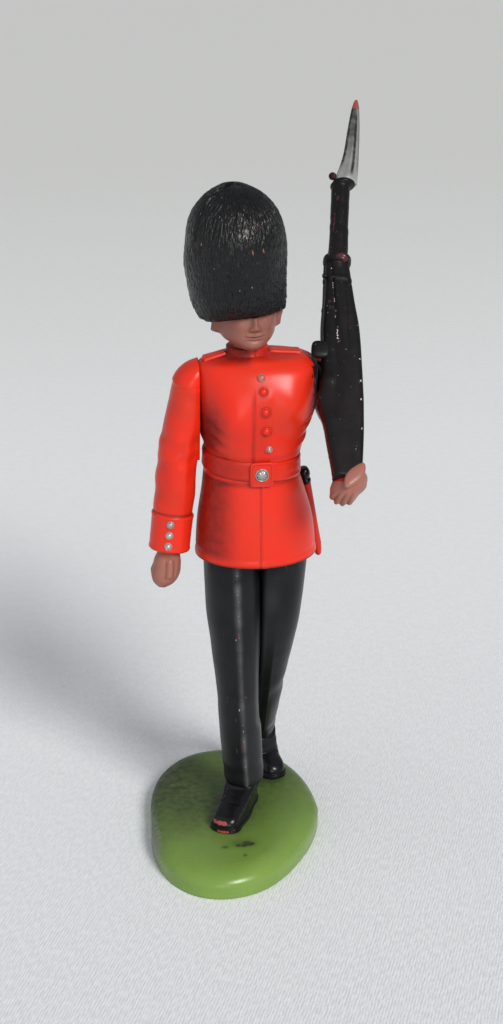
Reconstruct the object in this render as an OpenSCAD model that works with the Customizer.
// Toy soldier on parade: plug-together plastic figure of a guardsman marching with the rifle at the slope.
// Millimetres. X is to the viewer's right, the chest faces -Y, Z is up.
// The origin is the middle of the underside of the green base.

/* [Base] */
// Width of the base, side to side
base_w = 16.7; // [16:0.1:22]
// Length of the base, front to back
base_l = 24.6; // [23:0.1:30]
// Thickness of the base
base_t = 2.6; // [2.2:0.1:4]
// Height of the upright wall below the rounded edge
base_wall = 1.2; // [0.9:0.1:1.6]
// How far the rounded top edge runs in
base_edge = 1.5; // [0.8:0.1:2]
// Depth of the recess under the base
base_recess = 0.7; // [0.3:0.1:0.9]
// Width of the rim that the base stands on
base_rim = 1.6; // [1:0.1:2.5]

/* [Figure] */
// Where the middle of the body stands, to the side of the base's middle
body_x = 1.85; // [0.5:0.05:3]
// Where the middle of the body stands, behind the base's middle
body_y = -0.5; // [-1:0.1:1]
// Radial clearance of every peg in its hole
peg_gap = 0.05; // [0.03:0.01:0.1]
// Running gap between a moving piece and the body
joint_gap = 0.16; // [0.1:0.01:0.3]

/* [Boots] */
// Length of a boot
boot_l = 8.2; // [7:0.1:9.5]
// Width of a boot at the ball of the foot
boot_w = 3.3; // [2.8:0.1:4]
// Height of a boot up to the trouser hem
boot_h = 2.8; // [2.6:0.1:4]
// How far each toe is turned out, in degrees
toe_out = 24; // [5:1:26]
// Lift of the left heel, in degrees
heel_lift = 36; // [20:1:45]
// Radius of the pegs under the boots
foot_peg_r = 0.8; // [0.6:0.05:0.95]
// Radius of the pegs that join boots, legs and tunic
leg_peg_r = 1.1; // [0.8:0.05:1.3]
// Right ankle, to the side of the body's middle
right_foot_x = -0.9; // [-2:0.05:-0.8]
// Right ankle, behind the body's middle
right_foot_y = 0.9; // [0:0.1:1.5]
// Left heel before it is lifted, to the side of the body's middle
left_foot_x = 0.8; // [0.6:0.05:1.6]
// Left heel before it is lifted, behind the body's middle
left_foot_y = 10.6; // [9.5:0.1:11.5]

/* [Trousers] */
// Half width of a leg under the tunic
thigh_r = 2.75; // [2.3:0.05:3]
// Half depth of a leg under the tunic
thigh_d = 3.2; // [2.6:0.05:3.6]
// Half width of a leg at the knee
knee_r = 2.05; // [1.8:0.05:2.4]
// Half width of a leg at the hem
hem_r = 1.96; // [1.7:0.02:2.2]
// How far the pressed crease stands out
crease = 0.22; // [0:0.01:0.4]

/* [Tunic] */
// Height of the skirt's hem above the ground
hem_z = 30.2; // [28:0.1:32]
// Half width of the skirt at the hem
skirt_r = 5.65; // [5:0.05:5.9]
// Height of the middle of the belt
belt_z = 39.35; // [38.5:0.05:40.5]
// Width of the belt
belt_w = 1.8; // [1.2:0.1:2.4]
// Thickness of the belt
belt_t = 0.24; // [0.15:0.01:0.4]
// Half width of the waist under the belt
waist_r = 4.3; // [3.8:0.05:4.7]
// Half width of the chest, between the arms
chest_r = 5.3; // [4.9:0.05:5.6]
// Depth of the chest in front of the middle
chest_d = 4.45; // [3.8:0.05:5]
// Height of the shoulder joints
shoulder_z = 46.3; // [45.5:0.1:47]
// Height of the top of the shoulders at the collar
shoulder_top = 49.4; // [49.1:0.05:49.8]
// Sideways slope of the shoulders, the left one higher
shoulder_tilt = 0.05; // [0:0.01:0.08]
// Sideways slope of the belt, the left side lower
belt_tilt = 0.075; // [0:0.005:0.1]
// How far the neck stands off the body's middle
neck_x = -0.7; // [-0.9:0.05:-0.2]
// Outer radius of the standing collar
collar_r = 1.95; // [1.8:0.05:2.3]
// Height of the collar
collar_h = 0.6; // [0.4:0.05:0.7]
// Thickness of the shoulder straps
strap_t = 0.22; // [0.12:0.01:0.3]
// Radius of a tunic button
button_r = 0.4; // [0.3:0.02:0.6]
// Height of the lowest tunic button
button_low = 41.7; // [41.2:0.1:42.5]
// Spacing of the tunic buttons
button_step = 1.66; // [1.4:0.02:1.7]
// Width of the belt plate
plate_w = 2.1; // [1.4:0.1:2.6]
// Height of the belt plate
plate_h = 2.3; // [1.8:0.1:2.6]

/* [Head] */
// Half width of the face
face_r = 2.55; // [2.3:0.05:2.8]
// Height of the chin above the top of the shoulders
chin_lift = 0.87; // [0.85:0.01:1.2]
// Radius of the neck peg
neck_peg_r = 1.3; // [1:0.05:1.4]
// Length of the neck peg below the chin
neck_peg_l = 3; // [2:0.1:3.5]
// Height of the bearskin's lower edge, at its middle
brim_z = 52.8; // [52.5:0.1:53.5]
// Height of the bearskin
bearskin_h = 11.8; // [10:0.1:14]
// Half width of the bearskin
bearskin_r = 4.42; // [4:0.02:5]
// Backward slope of the bearskin's lower edge
brim_pitch = 0.2; // [0.1:0.01:0.25]
// Sideways slope of the bearskin's lower edge
brim_roll = 0.09; // [0:0.01:0.1]

/* [Arms] */
// Radius of the shoulder pegs
arm_peg_r = 0.95; // [0.7:0.05:1.1]
// Length of the shoulder pegs
arm_peg_l = 2.4; // [1.8:0.1:3]
// Half width of the right sleeve at the elbow
sleeve_r = 2; // [1.6:0.05:2.05]
// Half width of the bent left sleeve at the elbow
left_sleeve_r = 1.5; // [1.4:0.05:1.7]
// How far a cuff stands proud of the sleeve
cuff_t = 0.08; // [0.05:0.01:0.16]
// Half width of the right fist
fist_r = 1.3; // [1.2:0.02:1.5]
// Half width of the left fist, closed under the butt
left_fist_r = 1.58; // [1.5:0.02:1.7]

/* [Rifle] */
// Length of the rifle without its bayonet
rifle_l = 31.2; // [30:0.1:33]
// Length of the bayonet
bayonet_l = 8.6; // [7:0.1:11]
// Thickness of the stock
stock_t = 1.9; // [1.4:0.05:2]
// Radius of the barrel and fore-end tip
barrel_r = 0.9; // [0.7:0.05:1.1]
// Slope of the rifle from upright, in degrees
rifle_slope = 45; // [42:1:48]
// How far the muzzle leans outwards, in degrees
rifle_splay = 8.5; // [6:0.5:10]

/* [Scabbard] */
// Length of the bayonet scabbard
scabbard_l = 7.5; // [6.5:0.1:8]
// Width of the scabbard
scabbard_w = 1.3; // [0.9:0.1:1.8]

/* [Hidden] */
base_n = 72;
tunic_n = 48;
leg_n = 24;
boot_n = 24;
bearskin_n = 36;
head_n = 28;
sleeve_n = 24;
hand_n = 18;
stock_n = 20;
body_at = [body_x, body_y, 0];

// Smooth curve through the rows of v, at place s counted in rows
function row(v, i) = v[max(0, min(len(v) - 1, i))];
function curve(v, s) =
    let (i = max(0, min(len(v) - 2, floor(s))), f = s - i,
        a = row(v, i - 1), b = row(v, i), c = row(v, i + 1), d = row(v, i + 2))
    b + 0.5 * f * (c - a + f * (2 * a - 5 * b + 4 * c - d + f * (3 * (b - c) + d - a)));
function mix(a, b, f) = a + (b - a) * f;
function ease(f) = let (g = max(0, min(1, f))) g * g * (3 - 2 * g);
function unit(v) = v / norm(v);

// Oval of n points with its own front and back depth, squarer as p grows
function oval_at(a, rx, front, back, p) =
    let (c = cos(a), s = sin(a))
    [rx * sign(c) * pow(abs(c), 2 / p), (s < 0 ? front : back) * sign(s) * pow(abs(s), 2 / p)];

// Point k of n on an oval ring round c, in the plane square to the unit vector t
function ring_point(c, t, ru, rv, k, n, bump = 0) =
    let (a = 360 * k / n, u = unit([1, 0, 0] - t[0] * t), v = cross(t, u),
        b = bump * exp(-pow(cos(a) / 0.28, 2)))
    c + ru * cos(a) * u + (rv + b) * sin(a) * v;

// Closed skin over a list of rings, each end closed by a fan about its middle
function total(v, i = 0) = i == len(v) - 1 ? v[i] : v[i] + total(v, i + 1);
function middle(r) = total(r) / len(r);
module skin(rings) {
    m = len(rings);
    n = len(rings[0]);
    points = concat([for (r = rings) each r], [middle(rings[0]), middle(rings[m - 1])]);
    sides = [for (j = [0:m - 2], i = [0:n - 1])
        let (a = j * n + i, b = j * n + (i + 1) % n) each [[a, a + n, b + n], [a, b + n, b]]];
    ends = [for (i = [0:n - 1]) let (q = (i + 1) % n, top = (m - 1) * n)
        each [[m * n, i, q], [m * n + 1, top + q, top + i]]];
    polyhedron(points, concat(sides, ends));
}

// Plate between two grids of points, rows going up and columns anticlockwise, closed round if it wraps
module plate(outer, inner, wraps = false) {
    m = len(outer);
    n = len(outer[0]);
    turn = wraps ? n : n - 1;
    points = concat([for (r = outer) each r], [for (r = inner) each r]);
    k = m * n;
    walls = [for (j = [0:m - 2], i = [0:turn - 1])
        let (a = j * n + i, b = j * n + (i + 1) % n, d = a + n, c = b + n)
        each [[a, d, c], [a, c, b], [k + a, k + c, k + d], [k + a, k + b, k + c]]];
    rims = [for (i = [0:turn - 1]) let (a = i, b = (i + 1) % n, d = (m - 1) * n + a, c = (m - 1) * n + b)
        each [[a, b, k + b], [a, k + b, k + a], [c, d, k + d], [c, k + d, k + c]]];
    edges = wraps ? [] : [for (j = [0:m - 2]) let (a = j * n, d = a + n, b = a + n - 1, c = b + n)
        each [[d, a, k + a], [d, k + a, k + d], [b, c, k + c], [b, k + c, k + b]]];
    polyhedron(points, concat(walls, rims, edges));
}

// Base: an oval whose right front is drawn in, with a rounded top edge
base_corner = 0.05;
base_skew = 0.23;
base_nip = 0.24;
function base_point(a, inset) =
    let (front = min(0, sin(a)), nip = max(0, cos(a)) * front,
        f = 1 + base_corner * (1 - cos(4 * a)) / 2 + base_skew * cos(a) * front - base_nip * nip * nip)
    [(base_w / 2 - inset) * f * cos(a), (base_l / 2 - inset) * f * sin(a)];
function base_ring(inset) = [for (k = [0:base_n - 1]) base_point(360 * k / base_n, inset)];
edge_steps = 4;

module base() {
    color([0.42, 0.6, 0.22])
    difference() {
        skin(concat(
            [[for (q = base_ring(0)) [q[0], q[1], 0]]],
            [for (k = [0:edge_steps]) let (a = 90 * k / edge_steps)
                [for (q = base_ring(base_edge * (1 - cos(a))))
                    [q[0], q[1], base_wall + (base_t - base_wall) * sin(a)]]]));
        translate([0, 0, -1]) linear_extrude(1 + base_recess) polygon(base_ring(base_rim));
        foot_holes();
    }
}

// Boots: stacked outlines of the foot, with the ankle at the local origin and the toe towards -Y
boot_heel = 1.75;
boot_toe = boot_heel - boot_l;
boot_ball = boot_toe + 2.2;
boot_rows = [
    [0, boot_toe, boot_heel, boot_w / 2 - 0.08],
    [0.12, boot_toe - 0.05, boot_heel + 0.04, boot_w / 2],
    [0.45, boot_toe - 0.05, boot_heel + 0.02, boot_w / 2],
    [0.5, boot_toe + 0.15, boot_heel - 0.1, boot_w / 2 - 0.18],
    [1.1, boot_toe + 0.25, boot_heel, boot_w / 2 - 0.15],
    [1.6, boot_toe + 1, boot_heel + 0.02, boot_w / 2 - 0.2],
    [2.05, boot_toe + 2.5, boot_heel, boot_w / 2 - 0.25],
    [2.5, boot_toe + 3.9, boot_heel - 0.1, boot_w / 2 - 0.25],
    [boot_h, boot_toe + 4.7, boot_heel - 0.15, boot_w / 2 - 0.2]];

// A foot narrows a little at the instep, between the ball and the heel
function boot_point(r, k) =
    let (p = oval_at(360 * k / boot_n, 1, 1, 1, 2.4), y = mix(r[1], r[2], (p[1] + 1) / 2),
        waist = 1 - 0.1 * exp(-pow((y + 1.2) / 1.1, 2)) * (1 - r[0] / boot_h))
    [p[0] * r[3] * waist, y, r[0]];

// A lifted heel turns everything behind the ball of the foot about it
function flexed(p, lift) =
    let (y = p[1] - boot_ball, a = lift * ease(y / 1.6))
    [p[0], boot_ball + y * cos(a) - p[2] * sin(a), y * sin(a) + p[2] * cos(a)];
function boot_rings(lift) = [for (r = boot_rows) [for (k = [0:boot_n - 1]) flexed(boot_point(r, k), lift)]];

function turned(p, a) = [p[0] * cos(a) - p[1] * sin(a), p[0] * sin(a) + p[1] * cos(a), p[2]];
right_foot_at = body_at + [right_foot_x, right_foot_y, base_t];
left_foot_at = body_at + [left_foot_x, left_foot_y, base_t];
module at_right_foot() {
    translate(right_foot_at) rotate([0, 0, -toe_out]) children();
}
module at_left_foot() {
    translate(left_foot_at) rotate([0, 0, toe_out]) children();
}
right_peg_y = boot_ball + 1.6;
left_peg_y = boot_ball - 0.95;
foot_peg_l = base_t - base_recess - 0.2;
module foot_peg(y, r, l) {
    translate([0, y, -l]) cylinder(r = r, h = l + 0.3, $fn = 32);
}
module foot_holes() {
    at_right_foot() foot_peg(right_peg_y, foot_peg_r + peg_gap, base_t);
    at_left_foot() foot_peg(left_peg_y, foot_peg_r + peg_gap, base_t);
}
// Pegs that stand up from the ankles and hips start inside their own piece
leg_peg_l = 2.2;
peg_root = 0.4;
module leg_peg() {
    translate([0, 0, -peg_root]) cylinder(r = leg_peg_r, h = leg_peg_l + peg_root, $fn = 32);
}
module leg_hole() {
    translate([0, 0, -1]) cylinder(r = leg_peg_r + peg_gap, h = leg_peg_l + 1.2, $fn = 32);
}
ankle = [0, -0.1, boot_h];
right_ankle = right_foot_at + turned(ankle, -toe_out);
left_ankle = left_foot_at + turned(flexed(ankle, heel_lift), toe_out);
shin_down = turned([0, sin(heel_lift), -cos(heel_lift)], toe_out);
module at_left_ankle() {
    translate(left_ankle) rotate([0, 0, toe_out]) rotate([heel_lift, 0, 0]) children();
}
boot_black = [0.07, 0.07, 0.08];
module right_boot() {
    color(boot_black) {
        at_right_foot() {
            skin(boot_rings(0));
            foot_peg(right_peg_y, foot_peg_r, foot_peg_l);
        }
        translate(right_ankle) leg_peg();
    }
}
module left_boot() {
    color(boot_black) {
        at_left_foot() {
            skin(boot_rings(heel_lift));
            foot_peg(left_peg_y, foot_peg_r, foot_peg_l);
        }
        at_left_ankle() leg_peg();
    }
}

// Legs: rings swept from the hip to the ankle; inner sides meet on a plane down to the knees
hip_split = body_x + 0.2;
knees_apart = 13;
right_hip = body_at + [-2.1, 0, hem_z];
left_hip = body_at + [2.3, 0.3, hem_z];
right_knee = body_at + [-1.8, -0.5, 17];
left_knee = body_at + [1.2, 0, 17.5];
leg_steps = 14;
function bent(a, b, c, w, t) =
    ((1 - t) * (1 - t) * a + 2 * w * t * (1 - t) * b + t * t * c) / (1 + 2 * (w - 1) * t * (1 - t));
leg_w = [thigh_r, thigh_r - 0.1, knee_r + 0.1, knee_r, hem_r];
leg_d = [thigh_d, thigh_d - 0.35, knee_r + 0.25, knee_r + 0.05, hem_r + 0.15];
function split_at(z, side) = hip_split - side * ease((knees_apart - z) / 3);
// The left leg, seen from the side in mid stride, is slimmer at the shin
shin_slim = 0.2;
function leg_rings(hip, knee, foot, down, w, side) =
    [for (j = [0:leg_steps]) let (t = j / leg_steps, c = bent(hip, knee, foot, w, t),
        n = unit(mix([0, 0, -1], down, ease(t))), s = t * 4,
        slim = side > 0 ? shin_slim * bulge(t, 0.7, 0.25) : 0)
        [for (k = [0:leg_n - 1])
            let (p = ring_point(c, n, curve(leg_w, s) - slim, curve(leg_d, s), k, leg_n, crease * ease(t * 4)),
                x = split_at(p[2], side))
            [side < 0 ? min(p[0], x) : max(p[0], x), p[1], p[2]]]];
trouser_black = [0.1, 0.1, 0.11];
module right_trouser_leg() {
    color(trouser_black)
    difference() {
        union() {
            skin(leg_rings(right_hip, right_knee, right_ankle, [0, 0, -1], 1, -1));
            translate(right_hip) leg_peg();
        }
        translate(right_ankle) leg_hole();
    }
}
module left_trouser_leg() {
    color(trouser_black)
    difference() {
        union() {
            skin(leg_rings(left_hip, left_knee, left_ankle, shin_down, 1.3, 1));
            translate(left_hip) leg_peg();
        }
        at_left_ankle() leg_hole();
    }
}

// Tunic: rings from the hem up to the collar
// Each row: height, middle x, middle y, half width, front depth, back depth, squareness, sideways slope
belt_low = 3;
belt_top = 5;
chest_x = 0.2;
waist_x = -0.3;
armhole_z = mix(belt_z, shoulder_z, 0.4);
function shoulder_line(f) = mix(shoulder_z, shoulder_top, f);
collar_top = shoulder_top + 0.1 + collar_h;
tunic_rows = [
    [hem_z, 0.1, 0.1, skirt_r, 4.7, 4.5, 2, 0],
    [mix(hem_z, belt_z, 0.36), 0, 0.1, mix(skirt_r, waist_r, 0.2), 4.55, 4.35, 2.1, 0],
    [mix(hem_z, belt_z, 0.7), -0.15, 0.1, mix(skirt_r, waist_r, 0.66), 4.2, 3.95, 2.15, -belt_tilt / 2],
    [belt_z - belt_w / 2, waist_x, 0.1, waist_r + 0.08, 3.95, 3.6, 2.2, -belt_tilt],
    [belt_z, waist_x, 0.1, waist_r, 3.9, 3.55, 2.2, -belt_tilt],
    [belt_z + belt_w / 2, waist_x, 0.1, waist_r + 0.04, 3.95, 3.55, 2.2, -belt_tilt],
    [armhole_z, -chest_x / 2, 0.1, mix(waist_r, chest_r, 0.5), chest_d - 0.25, 3.65, 2.2, 0],
    [mix(belt_z, shoulder_z, 0.72), chest_x, 0, chest_r, chest_d, 3.8, 2.3, shoulder_tilt / 2],
    [shoulder_z, chest_x, 0, chest_r + 0.1, chest_d - 0.15, 3.9, 2.4, shoulder_tilt],
    [shoulder_line(0.55), chest_x, 0.05, chest_r + 0.2, chest_d - 0.8, 3.6, 2.4, shoulder_tilt],
    [shoulder_line(0.86), chest_x / 2 - 0.3, 0.1, chest_r - 0.5, 2.9, 2.9, 2.2, shoulder_tilt],
    [shoulder_top, neck_x + 0.1, 0.1, collar_r + 0.5, collar_r + 0.4, collar_r + 0.4, 2, shoulder_tilt / 2],
    [shoulder_top + 0.15, neck_x, 0.1, collar_r, collar_r, collar_r, 2, 0],
    [collar_top, neck_x, 0.1, collar_r - 0.1, collar_r - 0.1, collar_r - 0.1, 2, 0]];

// Tunic surface at row place s and point k, moved out by h and up by v; the sides are flat at the arms
function tunic_point(s, k, h = 0, v = 0) =
    let (r = curve(tunic_rows, s), p = oval_at(360 * k / tunic_n, r[3], r[4], r[5], r[6]),
        o = unit([p[0] / pow(r[3], 2), p[1] / pow(p[1] < 0 ? r[4] : r[5], 2)]),
        x = s > belt_top ? max(chest_x - chest_r, min(chest_x + chest_r, r[1] + p[0])) : r[1] + p[0])
    body_at + [x + h * o[0], r[2] + p[1] + h * o[1], r[0] + r[7] * p[0] + v];
function tunic_ring(s, h = 0) = [for (k = [0:tunic_n - 1]) tunic_point(s, k, h)];
tunic_red = [0.88, 0.13, 0.06];
neck_at = body_at + [neck_x, 0.1, 0];
shoulder_at = body_at + [0, 0, shoulder_z];

module tunic() {
    color(tunic_red)
    difference() {
        skin([for (s = [0:0.5:len(tunic_rows) - 1]) tunic_ring(s)]);
        translate(neck_at + [0, 0, chin_z - neck_peg_l - 0.2])
            cylinder(r = neck_peg_r + peg_gap, h = neck_peg_l + 1, $fn = 40);
        for (side = [-1, 1]) at_shoulder(side, chest_r - arm_peg_l)
            cylinder(r = arm_peg_r + peg_gap, h = arm_peg_l + 1, $fn = 32);
        translate(right_hip) leg_hole();
        translate(left_hip) leg_hole();
        for (i = [0:button_count - 1]) button_place(i) button_seat(button_r);
    }
}

// Shoulder joints: the local Z axis points out of the body's side, starting h from its middle
module at_shoulder(side, h) {
    translate(shoulder_at + [chest_x + side * h, 0, 0]) rotate([0, side * 90, 0]) children();
}

// Shoulder straps: raised strips from the collar to the point of the shoulder
strap_half = 2;
strap_rows = [10.3, 10.5, 10.75, 11];
module strap(turn) {
    plate([for (s = strap_rows)
            [for (k = [-strap_half:strap_half]) tunic_point(s, turn + k, strap_t / 2, strap_t)]],
        [for (s = strap_rows) [for (k = [-strap_half:strap_half]) tunic_point(s, turn + k)]]);
}
module shoulder_straps() {
    color(tunic_red) {
        strap(0);
        strap(tunic_n / 2);
    }
}

// Belt: a band round the waist on the tunic's own rings
belt_rows = [for (s = [belt_low:0.5:belt_top]) s];
module belt() {
    color(tunic_red)
    plate([for (s = belt_rows) tunic_ring(s, belt_t)], [for (s = belt_rows) tunic_ring(s)], true);
}

// Belt plate with its round boss, on the belt's front
plate_front = 3 * tunic_n / 4;
plate_t = 0.26;
plate_seat = 0.06;
plate_x = 0.35;
plate_drop = 0.15;
boss_r = 0.62;
boss_t = 0.3;
module at_belt_plate() {
    at = tunic_point(4, plate_front, belt_t);
    translate([at[0] + plate_x, at[1], at[2] - plate_drop]) rotate([90, 0, 0]) children();
}
module belt_plate() {
    color(tunic_red)
    at_belt_plate() translate([-plate_w / 2, -plate_h / 2, -plate_seat])
        cube([plate_w, plate_h, plate_t + plate_seat]);
}
module belt_boss() {
    color([0.75, 0.72, 0.7])
    at_belt_plate() translate([0, 0, plate_t]) rotate_extrude($fn = 32)
        polygon(concat([[0, 0], [boss_r, 0]],
            [for (a = [30:20:90]) [boss_r * cos(a), boss_t * sin(a)]]));
}

// Tunic buttons: domes in shallow round seats down the front
button_count = 5;
button_tall = 0.3;
button_lean = [0.65, 0.58, 0.45, 0.3, 0.15];
module button_place(i) {
    z = button_low + i * button_step;
    d = chest_front(z);
    translate(body_at + [button_lean[i], d, z]) rotate([90 + button_tip[i], 0, 0]) children();
}
button_tip = [10, 6, 0, -8, -22];
function chest_front(z) =
    -lookup(z, [for (s = [belt_top:0.25:11]) let (r = curve(tunic_rows, s)) [r[0], r[4] - r[2]]]);
stem_l = 0.25;
stem_in = 0.13;
module button(r, tall) {
    rotate_extrude($fn = 24)
        polygon(concat([[0, -stem_l], [r - stem_in, -stem_l], [r - stem_in, 0.04], [r, 0.04]],
            [for (a = [15:15:90]) [r * cos(a), 0.04 + (tall - 0.04) * sin(a)]]));
}
module button_seat(r) {
    translate([0, 0, -stem_l - 0.05]) cylinder(r = r - stem_in + 0.03, h = 2 * stem_l + 0.1, $fn = 24);
}
module tunic_buttons() {
    color([0.8, 0.78, 0.76])
    for (i = [0:button_count - 1]) button_place(i) button(button_r, button_tall);
}

// Scabbard: a flat sheath on the left hip, just behind the skirt's side, with its throat at the top
scabbard_lean = 10;
scabbard_x = 5.05;
scabbard_drop = 3.3;
throat_h = 1.6;
throat_grow = 1.2;
throat_in = 0.3;
module at_scabbard() {
    translate(body_at + [scabbard_x, 1.5, belt_z - scabbard_drop]) rotate([0, -scabbard_lean, 0]) children();
}
function sheath_ring(f, z) =
    [for (k = [0:11]) [0.45 * f * cos(30 * k), 0.46 * scabbard_w * f * sin(30 * k), z]];
module scabbard() {
    color(tunic_red)
    at_scabbard() difference() {
        skin([for (s = [0:5]) sheath_ring(s == 0 ? 0.6 : 1, -scabbard_l * (1 - s / 5))]);
        translate([0, 0, -throat_in]) linear_extrude(1)
            polygon([for (q = sheath_ring(0.7, 0)) [q[0], q[1]]]);
    }
}
module scabbard_throat() {
    color([0.06, 0.06, 0.07])
    at_scabbard() translate([0, 0, -throat_in])
        skin([sheath_ring(0.65, 0), sheath_ring(0.65, throat_in), sheath_ring(1, throat_in + 0.01),
            sheath_ring(throat_grow, throat_in + throat_h * 0.35),
            sheath_ring(throat_grow, throat_in + throat_h * 0.7), sheath_ring(0.7, throat_in + throat_h)]);
}

// Head: the jaw and face below the bearskin's edge, on a neck peg
chin_z = shoulder_top + chin_lift;
head_turn = 6;
function brim_height(p) = brim_z - brim_pitch * p[1] + brim_roll * p[0];
// Each row: share of the way from chin to brim, middle y, half width, front depth, back depth
head_rows = [
    [0, -0.7, 1, 1.7, 1.6],
    [0.1, -0.55, 1.45, 2.2, 2],
    [0.32, -0.3, 2.15, 2.65, 2.5],
    [0.6, -0.1, face_r - 0.1, 2.85, 2.9],
    [0.85, 0, face_r, 2.9, 3.1],
    [1, 0, face_r, 2.9, 3.15]];
nose_out = 0.45;
ear_out = 1;
function bulge(x, middle, spread) = exp(-pow((x - middle) / spread, 2));
function head_point(s, k) =
    let (r = curve(head_rows, s), a = 360 * k / head_n, p = oval_at(a, r[2], r[3], r[4], 2.15),
        f = max(0, min(1, r[0])),
        nose = sin(a) < 0 ? nose_out * bulge(cos(a), 0, 0.16) * bulge(f, 0.68, 0.2) : 0,
        ear = ear_out * bulge(sin(a), 0.1, 0.2) * ease((f - 0.35) * 5),
        q = [p[0] + ear * sign(p[0]), r[1] + p[1] - nose])
    [q[0], q[1], mix(chin_z, brim_height(q), f)];
skin_brown = [0.72, 0.42, 0.32];
crown_peg_r = 1.6;
crown_peg_l = 3;
module head() {
    color(skin_brown)
    translate(neck_at) {
        rotate([0, 0, head_turn])
            skin([for (s = [0:0.5:len(head_rows) - 1]) [for (k = [0:head_n - 1]) head_point(s, k)]]);
        translate([0, 0, chin_z - neck_peg_l]) cylinder(r = neck_peg_r, h = neck_peg_l + 1, $fn = 40);
        translate([0, 0, brim_z - 1]) cylinder(r = crown_peg_r, h = 1 + crown_peg_l, $fn = 40);
    }
}

// Bearskin: a tall fur cap, a little wider above and leaning to the right
// Each row: share of the height, middle x, middle y, half width, front depth, back depth
bearskin_rows = [
    [0, -0.3, 0.1, bearskin_r * 0.82, 3.5, 3.8],
    [0.06, -0.5, 0.1, bearskin_r * 0.89, 3.9, 4.1],
    [0.17, -0.75, 0.15, bearskin_r * 0.95, 4.4, 4.5],
    [0.34, -0.9, 0.25, bearskin_r * 1.0, 4.85, 4.8],
    [0.5, -0.95, 0.3, bearskin_r * 1.02, 4.95, 4.95],
    [0.66, -0.98, 0.4, bearskin_r * 0.97, 4.75, 4.8],
    [0.8, -0.98, 0.5, bearskin_r * 0.84, 4.1, 4.2],
    [0.91, -0.95, 0.55, bearskin_r * 0.6, 3, 3.1],
    [0.975, -0.95, 0.6, bearskin_r * 0.33, 1.65, 1.7],
    [1, -0.95, 0.6, bearskin_r * 0.06, 0.3, 0.3]];
function bearskin_point(s, k) =
    let (r = curve(bearskin_rows, s), p = oval_at(360 * k / bearskin_n, r[3], r[4], r[5], 2.1),
        f = max(0, min(1, r[0])), q = [r[1] + p[0], r[2] + p[1]])
    [q[0], q[1], mix(brim_height(q), brim_z + bearskin_h, f)];
module bearskin() {
    color([0.06, 0.06, 0.07])
    difference() {
        translate(neck_at) rotate([0, 0, head_turn])
            skin([for (s = [0:0.5:len(bearskin_rows) - 1])
                [for (k = [0:bearskin_n - 1]) bearskin_point(s, k)]]);
        translate(neck_at + [0, 0, brim_z - 2])
            cylinder(r = crown_peg_r + peg_gap, h = 2.2 + crown_peg_l, $fn = 40);
    }
}

// Sleeves: rings swept along a bent arm, with a domed shoulder and a flat inner face at the joint
// Each arm: top, elbow and wrist of its middle line, bend, side, half width at the elbow, share of cuff
right_line = [[-5.5, 0.1, 2.7], [-7, 0.7, -6.7], [-8.05, -0.3, -15.4]];
left_line = [[6.65, 0.1, 2.3], [9.25, 2.9, -9.7], [7.55, -6.4, -7.25]];
right_arm = concat([for (q = right_line) shoulder_at + q], [1, -1, sleeve_r, 0.2]);
left_arm = concat([for (q = left_line) shoulder_at + q], [2.2, 1, left_sleeve_r, 0.22]);
arm_steps = [0, 0.008, 0.03, 0.065, 0.12, 0.2, 0.29, 0.38, 0.45, 0.52, 0.59, 0.67, 0.75];
dome = 0.12;
shoulder_w = 1.45;
shoulder_d = 2.05;
function along(arm, t) = bent(arm[0], arm[1], arm[2], arm[3], t);
function tangent(arm, t) = unit(along(arm, min(1, t + 0.01)) - along(arm, max(0, t - 0.01)));
function across(d) = unit([1, 0, 0] - d[0] * d);
function arm_radius(t, shoulder, elbow, wrist) =
    (t < 0.5 ? mix(shoulder, elbow, ease(t * 2.2)) : mix(elbow, wrist, ease(t * 2 - 1)))
    * sqrt(max(0.02, 1 - pow(1 - min(1, t / dome), 2)));
function arm_w(arm, t) = arm_radius(t, shoulder_w, arm[5], arm[5] - 0.23);
function arm_d(arm, t) = arm_radius(t, shoulder_d, arm[5] + 0.1, arm[5] - 0.2);
function arm_face(side) = body_x + chest_x + side * (chest_r + joint_gap);
function arm_ring(arm, t, grow) =
    let (w = arm_w(arm, t), side = arm[4], face = arm_face(side),
        o = along(arm, t) - [side * (t < dome ? shoulder_w - w : 0), 0, 0])
    [for (k = [0:sleeve_n - 1])
        let (p = ring_point(o, tangent(arm, t), w + grow, arm_d(arm, t) + grow, k, sleeve_n))
        [side < 0 ? min(p[0], face) : max(p[0], face), p[1], p[2]]];
function arm_rings(arm) =
    let (start = 1 - arm[6])
    concat([for (t = arm_steps) if (t < start - 0.03) arm_ring(arm, t, 0)],
        [arm_ring(arm, start - 0.006, 0)],
        [for (f = [0, 0.3, 0.65, 1]) arm_ring(arm, start + arm[6] * f, cuff_t + 0.05 * f)]);
module sleeve(arm, spin) {
    color(tunic_red)
    difference() {
        union() {
            skin(arm_rings(arm));
            at_shoulder(arm[4], chest_r - arm_peg_l + 0.2)
                cylinder(r = arm_peg_r, h = arm_peg_l + joint_gap + peg_root, $fn = 32);
        }
        cuff_places(arm, spin) button_seat(cuff_button_r);
    }
}
module right_sleeve() {
    sleeve(right_arm, right_spin);
}
module left_sleeve() {
    sleeve(left_arm, left_spin);
}

// Hands: fists that go on from the cuff's end
// Each row: share of the length, half width, half depth
fist_rows = [
    [0, 0.8, 0.76],
    [0.14, 0.84, 0.82],
    [0.32, 0.96, 1],
    [0.52, 1, 1.08],
    [0.72, 0.95, 1.05],
    [0.88, 0.72, 0.82],
    [1, 0.3, 0.36]];
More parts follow.
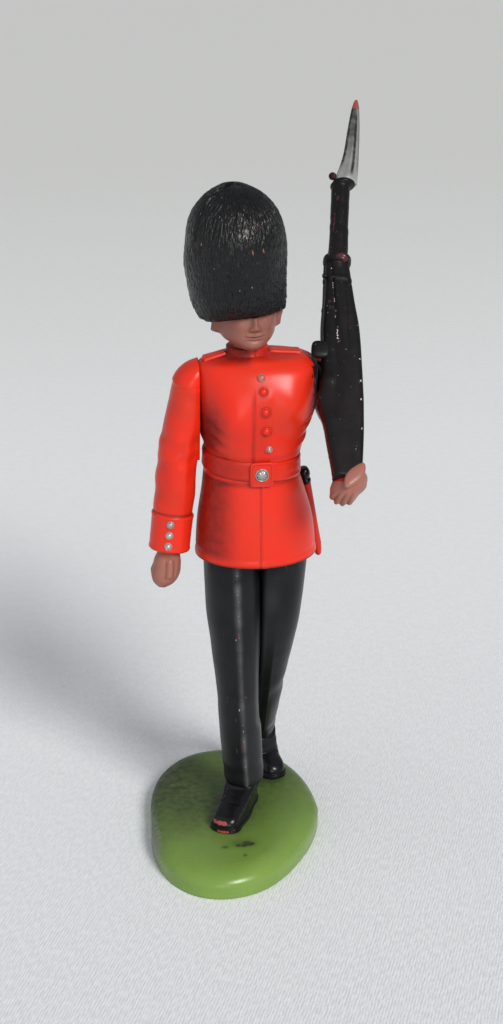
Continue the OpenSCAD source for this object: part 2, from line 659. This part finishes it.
// The left fist slants down to the inside; the right one runs in towards its fingertips
function fist_rings(arm, l, r, slant, lean) =
    let (d = tangent(arm, 1), u = across(d), v = cross(d, u))
    [for (s = [0:0.5:len(fist_rows) - 1]) let (w = curve(fist_rows, s))
        [for (k = [0:hand_n - 1]) let (p = oval_at(360 * k / hand_n, w[1] * r, w[2] * r, w[2] * r, 2.2))
            arm[2] + w[0] * l * d + (p[0] + slant * p[1] + lean * w[0] * w[0]) * u + p[1] * v]];
right_fist_l = 3.7;
left_fist_l = 4.8;
fist_slant = 0.28;
module right_hand() {
    color(skin_brown) skin(fist_rings(right_arm, right_fist_l, fist_r, 0, -0.35));
}
module left_hand() {
    color(skin_brown)
    difference() {
        skin(fist_rings(left_arm, left_fist_l, left_fist_r, fist_slant, 0));
        at_rifle() translate([butt_in - hold_gap, -stock_t / 2 - hold_gap, butt_low - hold_gap])
            cube([butt_out - butt_in + 2 * hold_gap, stock_t + 2 * hold_gap, hold_l]);
    }
}

// Cuff buttons: three in a row up each cuff
cuff_button_r = 0.36;
right_spin = 100;
left_spin = -75;
module cuff_places(arm, spin) {
    for (f = [0.2, 0.5, 0.8]) {
        t = 1 - arm[6] * f;
        d = tangent(arm, t);
        u = across(d);
        w = arm_w(arm, t) + cuff_t + 0.03;
        h = arm_d(arm, t) + cuff_t + 0.03;
        out = unit(cos(spin) / w * u + sin(spin) / h * cross(d, u));
        translate(along(arm, t) + w * cos(spin) * u + h * sin(spin) * cross(d, u))
            multmatrix(facing(out)) children();
    }
}
function facing(z) =
    let (x = unit(cross([0, 0.01, 1], z)), y = cross(z, x))
    [[x[0], y[0], z[0], 0], [x[1], y[1], z[1], 0], [x[2], y[2], z[2], 0], [0, 0, 0, 1]];
module right_cuff_buttons() {
    color([0.85, 0.83, 0.8]) cuff_places(right_arm, right_spin) button(cuff_button_r, 0.24);
}
module left_cuff_buttons() {
    color([0.85, 0.83, 0.8]) cuff_places(left_arm, left_spin) button(cuff_button_r, 0.24);
}

// Rifle: sections along the barrel line, the stock hanging to the outer side
rifle_at = [5.3, -9.5, -5.55];
module at_rifle() {
    translate(shoulder_at + rifle_at) rotate([-rifle_slope, 0, 0]) rotate([0, rifle_splay, 0]) children();
}
butt_low = -0.1;
butt_in = 0.15;
butt_out = 2.74;
hold_gap = 0.03;
barrel_l = 9.9;
stock_l = rifle_l - barrel_l;
band_h = 0.8;
cap_h = 1.05;
cap_x = 0.3;
bolt = [1.6, 0.65, 1.3];
hold_l = 8;
// Each row: place along the rifle, inner edge, outer edge, half thickness, squareness
rifle_rows = [
    [butt_low, butt_in + 0.15, butt_out - 0.14, stock_t / 2 - 0.1, 5],
    [0.6, butt_in, butt_out - 0.02, stock_t / 2, 6],
    [stock_l * 0.164, -0.45, 2.78, stock_t / 2, 6],
    [stock_l * 0.254, -0.85, 2.76, stock_t / 2, 6],
    [stock_l * 0.347, -1.35, 2.7, stock_t / 2, 6],
    [stock_l * 0.418, -0.8, 2.6, stock_t / 2, 6],
    [stock_l * 0.516, -0.8, 2.45, stock_t / 2, 6],
    [stock_l * 0.681, -1.2, 2.15, stock_t / 2, 6],
    [stock_l * 0.826, -1.28, 1.6, stock_t / 2, 5],
    [stock_l, -1.3, 1, stock_t / 2, 4]];
function stock_ring(r) =
    [for (k = [0:stock_n - 1]) let (p = oval_at(360 * k / stock_n, 1, 1, 1, r[4]))
        [mix(r[1], r[2], (p[0] + 1) / 2), p[1] * r[3], r[0]]];
module rifle() {
    color([0.1, 0.08, 0.09])
    at_rifle() {
        skin([for (r = rifle_rows) stock_ring(r)]);
        translate([0, 0, stock_l - 0.5]) cylinder(r = barrel_r, h = barrel_l + 0.5, $fn = 24);
        translate([-0.1, 0, stock_l]) cylinder(r = barrel_r + 0.38, h = band_h, $fn = 24);
        translate([cap_x, 0, rifle_l - cap_h])
            cylinder(r1 = barrel_r + 0.05, r2 = barrel_r + 0.3, h = cap_h, $fn = 24);
        translate([-0.8, -0.15, rifle_l - 0.3]) sphere(r = 0.4, $fn = 16);
        translate([-2.1, -0.92, stock_l * 0.545]) cube(bolt);
    }
}

// Bayonet: a blade with one straight and one hollow edge, its root seated in the muzzle
// Each row: share of the length, middle of the blade, half width
blade_rows = [[0, 0.5, 1.05], [0.14, 0.68, 0.95], [0.33, 0.88, 0.76], [0.65, 1.06, 0.6], [0.9, 1.15, 0.42],
    [1, 1.2, 0.15]];
function blade_ring(s) =
    let (r = curve(blade_rows, s))
    [for (k = [0:11]) [r[1] + r[2] * cos(30 * k), mix(0.5, 0.18, r[0]) * sin(30 * k), r[0] * bayonet_l]];
module bayonet() {
    color([0.7, 0.71, 0.72])
    at_rifle() translate([0, 0, rifle_l]) skin([for (s = [0:0.5:len(blade_rows) - 1]) blade_ring(s)]);
}

base();
right_boot();
left_boot();
right_trouser_leg();
left_trouser_leg();
tunic();
shoulder_straps();
belt();
belt_plate();
belt_boss();
tunic_buttons();
scabbard();
scabbard_throat();
head();
bearskin();
right_sleeve();
right_hand();
right_cuff_buttons();
left_sleeve();
left_hand();
left_cuff_buttons();
rifle();
bayonet();
